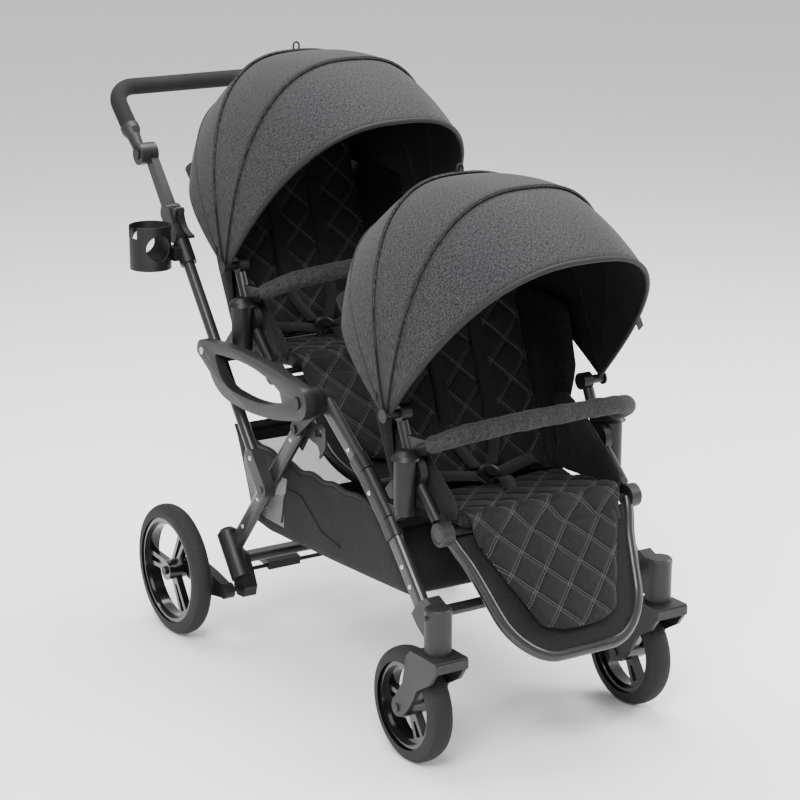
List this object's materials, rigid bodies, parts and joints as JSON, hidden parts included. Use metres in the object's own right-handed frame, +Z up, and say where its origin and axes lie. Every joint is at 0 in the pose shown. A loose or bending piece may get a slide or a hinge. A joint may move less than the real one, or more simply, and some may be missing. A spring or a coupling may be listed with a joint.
{
  "type": "tandem double stroller",
  "caption": "Folding tandem stroller with matching seats in line, canopies, bumper bars, footrests, a basket, swivel front wheels and sprung rear wheels.",
  "frame": {"origin": "on the ground, at the centre of the outline of the whole stroller, cup holder and handle included; the middle plane of the frame is at X = 14.25 mm and the rear axle at Y = 323.7 mm", "axes": "+Z up, the stroller faces -Y, its left side is +X"},
  "size_m": [0.6626, 1.2194, 1.113],
  "materials": {
    "frame_tube": "satin charcoal enamel on round and flat-sided tube",
    "frame_plastic": "fine-textured charcoal moulding",
    "black_plastic": "fine-textured black moulding",
    "steel": "zinc-plated rivet and bolt steel",
    "tyre": "matt dark charcoal foam rubber",
    "wheel_plastic": "glossy black moulding",
    "foam": "closed-cell black foam sleeve",
    "canopy_fabric": "heather charcoal melange weave with a black lining",
    "seat_fabric": "black quilted polyester",
    "basket_fabric": "black nylon and mesh"
  },
  "bodies": {
    "frame": {"front_tubes": "frame_tube", "tube_sleeves": "frame_plastic", "hub_barrels": "frame_plastic", "caster_housings": "frame_plastic", "front_cross_tube": "frame_tube", "basket": "basket_fabric"},
    "links": {"side_links": "frame_tube", "rear_seat_posts": "frame_plastic", "link_bolts": "steel"},
    "handle_lower": {"handle_tubes": "frame_tube", "knee_plates": "frame_plastic", "handle_arms": "frame_plastic", "cup_holder": "black_plastic"},
    "triggers": {"fold_triggers": "black_plastic"},
    "handle_upper": {"handle_bar": "frame_tube", "handle_grip": "foam", "handle_collars": "frame_plastic"},
    "button_left": {"handle_button_left": "black_plastic"},
    "button_right": {"handle_button_right": "black_plastic"},
    "legs": {"rear_legs": "frame_tube", "leg_brackets": "frame_tube", "shock_housings": "black_plastic", "rear_cross_tube": "frame_tube"},
    "brake": {"brake_bar": "frame_plastic"},
    "arm_left": {"swing_arm_left": "black_plastic"},
    "arm_right": {"swing_arm_right": "black_plastic"},
    "rear_wheel_left": {"rear_rim_left": "wheel_plastic", "rear_tyre_left": "tyre"},
    "rear_wheel_right": {"rear_rim_right": "wheel_plastic", "rear_tyre_right": "tyre"},
    "caster_left": {"caster_fork_left": "frame_plastic"},
    "caster_right": {"caster_fork_right": "frame_plastic"},
    "front_wheel_left": {"front_rim_left": "wheel_plastic", "front_tyre_left": "tyre"},
    "front_wheel_right": {"front_rim_right": "wheel_plastic", "front_tyre_right": "tyre"},
    "front_seat": {"front_seat_frame": "frame_plastic", "front_cushion": "seat_fabric", "front_canopy_rear": "canopy_fabric", "front_harness": "black_plastic"},
    "front_back": {"front_backrest": "seat_fabric"},
    "front_footrest": {"front_footrest_tube": "frame_tube", "front_calf_pad": "seat_fabric"},
    "front_bumper": {"front_bumper_bar": "frame_tube", "front_bumper_pad": "seat_fabric"},
    "front_canopy_mid": {"front_canopy_middle": "canopy_fabric"},
    "front_canopy_fore": {"front_canopy_front": "canopy_fabric"},
    "front_buckle": {"front_buckle_button": "black_plastic"},
    "rear_seat": {"rear_seat_frame": "frame_plastic", "rear_cushion": "seat_fabric", "rear_canopy_rear": "canopy_fabric", "rear_harness": "black_plastic"},
    "rear_back": {"rear_backrest": "seat_fabric"},
    "rear_footrest": {"rear_footrest_tube": "frame_tube", "rear_calf_pad": "seat_fabric"},
    "rear_bumper": {"rear_bumper_bar": "frame_tube", "rear_bumper_pad": "seat_fabric"},
    "rear_canopy_mid": {"rear_canopy_middle": "canopy_fabric"},
    "rear_canopy_fore": {"rear_canopy_front": "canopy_fabric"},
    "rear_buckle": {"rear_buckle_button": "black_plastic"}
  },
  "joints": [
    {"name": "fold", "type": "hinge", "parent": "frame", "child": "links", "pos_m": [0.01425, -0.11732, 0.56], "axis": [-1, 0, 0], "range_deg": [0, 38], "deforming": ["basket"]},
    {"name": "leg_fold", "type": "hinge", "parent": "frame", "child": "legs", "pos_m": [0.01425, -0.03732, 0.487], "axis": [-1, 0, 0], "range_deg": [0, 65]},
    {"name": "handle_fold", "type": "hinge", "parent": "links", "child": "handle_lower", "pos_m": [0.01425, 0.22364, 0.57926], "axis": [-1, 0, 0], "range_deg": [0, 11.6]},
    {"name": "fold_trigger", "type": "hinge", "parent": "handle_lower", "child": "triggers", "pos_m": [0.01425, 0.36696, 0.81331], "axis": [1, 0, 0], "range_deg": [0, 8], "stiffness_Nm_per_rad": 1.5, "springref_deg": -5.73},
    {"name": "handle_tilt", "type": "hinge", "parent": "handle_lower", "child": "handle_upper", "pos_m": [0.01425, 0.47768, 0.906], "axis": [1, 0, 0], "range_deg": [-70, 20]},
    {"name": "handle_button_left_press", "type": "slide", "parent": "handle_upper", "child": "button_left", "axis": [-1, 0, 0], "range_m": [0, 0.003], "stiffness_N_per_m": 400, "springref_m": -0.001},
    {"name": "handle_button_right_press", "type": "slide", "parent": "handle_upper", "child": "button_right", "axis": [1, 0, 0], "range_m": [0, 0.003], "stiffness_N_per_m": 400, "springref_m": -0.001},
    {"name": "suspension_left", "type": "hinge", "parent": "legs", "child": "arm_left", "pos_m": [0.25425, 0.17468, 0.122], "axis": [1, 0, 0], "range_deg": [0, 5], "stiffness_Nm_per_rad": 260, "springref_deg": -6.88},
    {"name": "rear_wheel_left_spin", "type": "hinge", "parent": "arm_left", "child": "rear_wheel_left", "pos_m": [0.30725, 0.32368, 0.127], "axis": [1, 0, 0], "continuous": true},
    {"name": "caster_left_swivel", "type": "hinge", "parent": "frame", "child": "caster_left", "pos_m": [0.24525, -0.48932, 0.24], "axis": [0, 0, 1], "continuous": true},
    {"name": "front_wheel_left_spin", "type": "hinge", "parent": "caster_left", "child": "front_wheel_left", "pos_m": [0.24525, -0.41532, 0.1], "axis": [1, 0, 0], "continuous": true},
    {"name": "suspension_right", "type": "hinge", "parent": "legs", "child": "arm_right", "pos_m": [-0.22575, 0.17468, 0.122], "axis": [1, 0, 0], "range_deg": [0, 5], "stiffness_Nm_per_rad": 260, "springref_deg": -6.88},
    {"name": "rear_wheel_right_spin", "type": "hinge", "parent": "arm_right", "child": "rear_wheel_right", "pos_m": [-0.27875, 0.32368, 0.127], "axis": [1, 0, 0], "continuous": true},
    {"name": "caster_right_swivel", "type": "hinge", "parent": "frame", "child": "caster_right", "pos_m": [-0.21675, -0.48932, 0.24], "axis": [0, 0, 1], "continuous": true},
    {"name": "front_wheel_right_spin", "type": "hinge", "parent": "caster_right", "child": "front_wheel_right", "pos_m": [-0.21675, -0.41532, 0.1], "axis": [1, 0, 0], "continuous": true},
    {"name": "brake_pedal", "type": "hinge", "parent": "legs", "child": "brake", "pos_m": [0.01425, 0.23268, 0.132], "axis": [-1, 0, 0], "range_deg": [0, 20]},
    {"name": "front_seat_lift", "type": "slide", "parent": "frame", "child": "front_seat", "axis": [0, 0, 1], "range_m": [0, 0.06]},
    {"name": "front_recline", "type": "hinge", "parent": "front_seat", "child": "front_back", "pos_m": [0.01425, -0.26132, 0.414], "axis": [1, 0, 0], "range_deg": [-18, 0]},
    {"name": "front_footrest_tilt", "type": "hinge", "parent": "front_seat", "child": "front_footrest", "pos_m": [0.01425, -0.44832, 0.403], "axis": [-1, 0, 0], "range_deg": [0, 35]},
    {"name": "front_bumper_pull", "type": "slide", "parent": "front_seat", "child": "front_bumper", "axis": [0, -0.8988, 0.4384], "range_m": [0, 0.04]},
    {"name": "front_canopy_mid_fold", "type": "hinge", "parent": "front_seat", "child": "front_canopy_mid", "pos_m": [0.01425, -0.31832, 0.579], "axis": [-1, 0, 0], "range_deg": [0, 25]},
    {"name": "front_canopy_fold", "type": "hinge", "parent": "front_canopy_mid", "child": "front_canopy_fore", "pos_m": [0.01425, -0.31832, 0.579], "axis": [-1, 0, 0], "range_deg": [0, 25]},
    {"name": "front_buckle_press", "type": "slide", "parent": "front_seat", "child": "front_buckle", "axis": [0, 0.5, -0.866], "range_m": [0, 0.003], "stiffness_N_per_m": 400, "springref_m": -0.001},
    {"name": "rear_seat_lift", "type": "slide", "parent": "links", "child": "rear_seat", "axis": [0, 0, 1], "range_m": [0, 0.06]},
    {"name": "rear_recline", "type": "hinge", "parent": "rear_seat", "child": "rear_back", "pos_m": [0.01425, 0.28568, 0.564], "axis": [1, 0, 0], "range_deg": [-18, 0]},
    {"name": "rear_footrest_tilt", "type": "hinge", "parent": "rear_seat", "child": "rear_footrest", "pos_m": [0.01425, 0.09868, 0.553], "axis": [-1, 0, 0], "range_deg": [0, 35]},
    {"name": "rear_bumper_pull", "type": "slide", "parent": "rear_seat", "child": "rear_bumper", "axis": [0, -0.8988, 0.4384], "range_m": [0, 0.04]},
    {"name": "rear_canopy_mid_fold", "type": "hinge", "parent": "rear_seat", "child": "rear_canopy_mid", "pos_m": [0.01425, 0.22868, 0.729], "axis": [-1, 0, 0], "range_deg": [0, 25]},
    {"name": "rear_canopy_fold", "type": "hinge", "parent": "rear_canopy_mid", "child": "rear_canopy_fore", "pos_m": [0.01425, 0.22868, 0.729], "axis": [-1, 0, 0], "range_deg": [0, 25]},
    {"name": "rear_buckle_press", "type": "slide", "parent": "rear_seat", "child": "rear_buckle", "axis": [0, 0.5, -0.866], "range_m": [0, 0.003], "stiffness_N_per_m": 400, "springref_m": -0.001}
  ],
  "couplings": [
    {"joint": "leg_fold", "follows": "fold", "ratio": 1.7079},
    {"joint": "handle_fold", "follows": "fold", "ratio": 0.3047},
    {"joint": "front_canopy_mid_fold", "follows": "front_canopy_fold", "ratio": 1},
    {"joint": "rear_canopy_mid_fold", "follows": "rear_canopy_fold", "ratio": 1}
  ]
}
